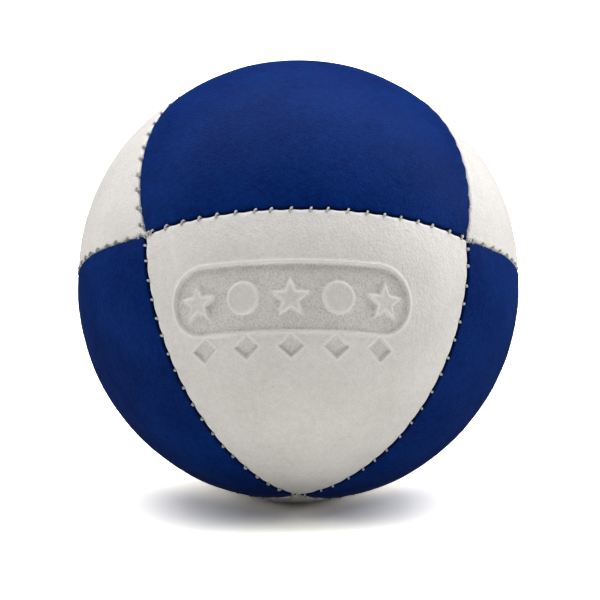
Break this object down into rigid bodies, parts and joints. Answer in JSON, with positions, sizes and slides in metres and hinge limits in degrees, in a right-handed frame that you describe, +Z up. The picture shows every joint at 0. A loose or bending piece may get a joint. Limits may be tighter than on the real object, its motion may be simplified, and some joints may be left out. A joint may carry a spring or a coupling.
{
  "type": "juggling ball",
  "caption": "Soft leather juggling ball sewn from three-cornered blue and white panels with visible hand stitching, filled with millet, lying on its flattened base",
  "frame": {"origin": "centre of the small flat patch on the lower back panel that the ball rests on, straight below the middle of the ball", "axes": "+Z up from the surface it rests on; the front, where one blue panel sits above one white panel, faces -Y; +X is to the right as seen from the front"},
  "size_m": [0.065, 0.065, 0.0645],
  "materials": {
    "blue_leather": "satin",
    "white_leather": "satin",
    "waxed_thread": "satin",
    "millet": "matte"
  },
  "bodies": {
    "root": {"upper_front_panel": "blue_leather", "upper_left_panel": "white_leather", "upper_right_panel": "white_leather", "upper_back_panel": "blue_leather", "lower_front_panel": "white_leather", "lower_left_panel": "blue_leather", "lower_right_panel": "blue_leather", "lower_back_panel": "white_leather", "equator_front_thread": "waxed_thread", "equator_left_thread": "waxed_thread", "equator_right_thread": "waxed_thread", "equator_back_thread": "waxed_thread", "upper_front_left_thread": "waxed_thread", "upper_front_right_thread": "waxed_thread", "upper_back_left_thread": "waxed_thread", "upper_back_right_thread": "waxed_thread", "lower_front_left_thread": "waxed_thread", "lower_front_right_thread": "waxed_thread", "lower_back_left_thread": "waxed_thread", "lower_back_right_thread": "waxed_thread", "millet_fill": "millet"}
  },
  "joints": []
}
